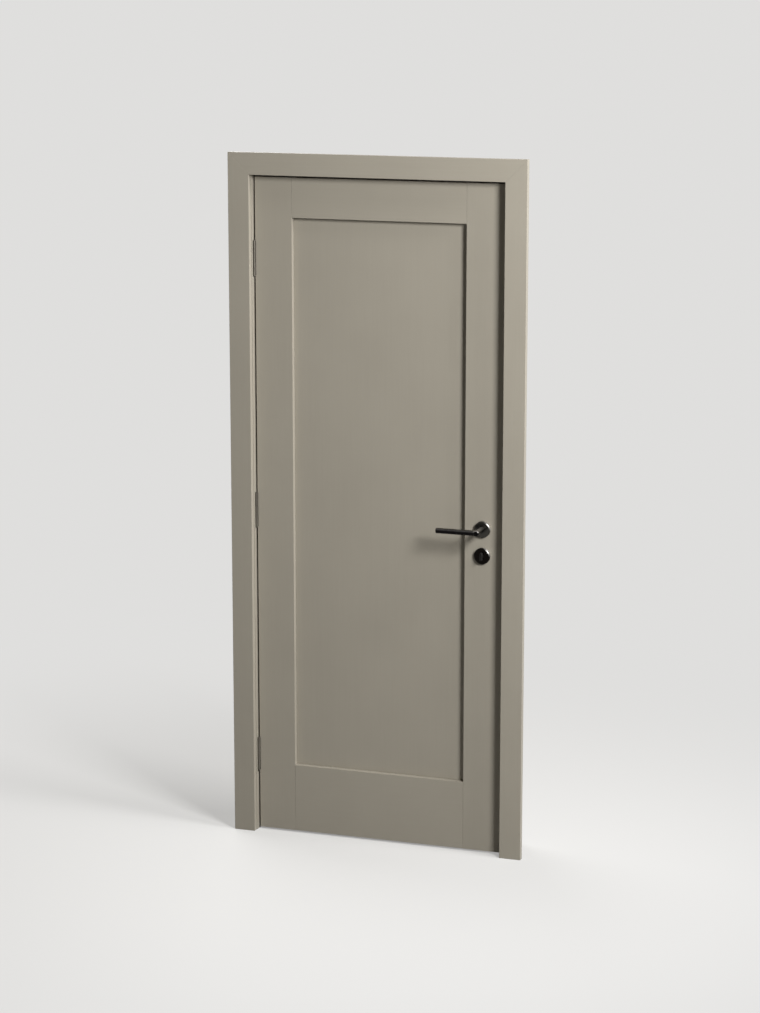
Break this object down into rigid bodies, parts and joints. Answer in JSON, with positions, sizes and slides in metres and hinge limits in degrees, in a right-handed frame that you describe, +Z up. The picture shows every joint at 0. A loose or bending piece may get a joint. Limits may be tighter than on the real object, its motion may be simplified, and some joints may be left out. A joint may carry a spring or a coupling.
{
  "type": "shaker door",
  "caption": "Painted single-panel shaker door hung in its timber lining with a plain architrave, butt hinges, a round lever on a rose and a thumb-turn below it.",
  "frame": {"origin": "floor level, on the wall side of the hinge jamb, in the plane of the wall face that the architrave lies on", "axes": "+X from the hinge jamb towards the latch jamb, +Y from the viewer through the doorway, +Z up"},
  "size_m": [0.906, 0.1885, 2.059],
  "materials": {
    "painted_timber": "satin warm grey paint",
    "satin_steel": "satin",
    "spindle_steel": "plain",
    "dark_metal": "polished dark gunmetal"
  },
  "bodies": {
    "frame": {"hinge_jamb": "painted_timber", "latch_jamb": "painted_timber", "head_lining": "painted_timber", "hinge_stop": "painted_timber", "latch_stop": "painted_timber", "head_stop": "painted_timber", "hinge_architrave": "painted_timber", "latch_architrave": "painted_timber", "head_architrave": "painted_timber", "strike_plate": "satin_steel", "top_hinge_frame_leaf": "dark_metal", "middle_hinge_frame_leaf": "dark_metal", "bottom_hinge_frame_leaf": "dark_metal", "top_hinge_pin": "dark_metal", "middle_hinge_pin": "dark_metal", "bottom_hinge_pin": "dark_metal"},
    "leaf": {"hinge_stile": "painted_timber", "latch_stile": "painted_timber", "top_rail": "painted_timber", "bottom_rail": "painted_timber", "panel": "painted_timber", "latch_forend": "satin_steel", "latch_bolt": "satin_steel", "dead_bolt": "satin_steel", "front_lever_rose": "dark_metal", "back_lever_rose": "dark_metal", "front_turn_rose": "dark_metal", "back_turn_rose": "dark_metal", "top_hinge_door_leaf": "dark_metal", "middle_hinge_door_leaf": "dark_metal", "bottom_hinge_door_leaf": "dark_metal"},
    "lever": {"front_lever": "dark_metal", "back_lever": "dark_metal", "lever_spindle": "spindle_steel"},
    "turn": {"thumb_turn": "dark_metal", "turn_release": "dark_metal", "turn_spindle": "spindle_steel"}
  },
  "joints": [
    {"name": "door_swing", "type": "hinge", "parent": "frame", "child": "leaf", "pos_m": [0.032, 0.008, 0.9965], "axis": [0, 0, -1], "range_deg": [0, 100]},
    {"name": "lever_turn", "type": "hinge", "parent": "leaf", "child": "lever", "pos_m": [0.735, 0.012, 0.985], "axis": [0, -1, 0], "range_deg": [0, 40], "stiffness_Nm_per_rad": 1.2, "springref_deg": -28.65},
    {"name": "thumb_turn", "type": "hinge", "parent": "leaf", "child": "turn", "pos_m": [0.735, 0.012, 0.906], "axis": [0, -1, 0], "range_deg": [0, 90]}
  ]
}
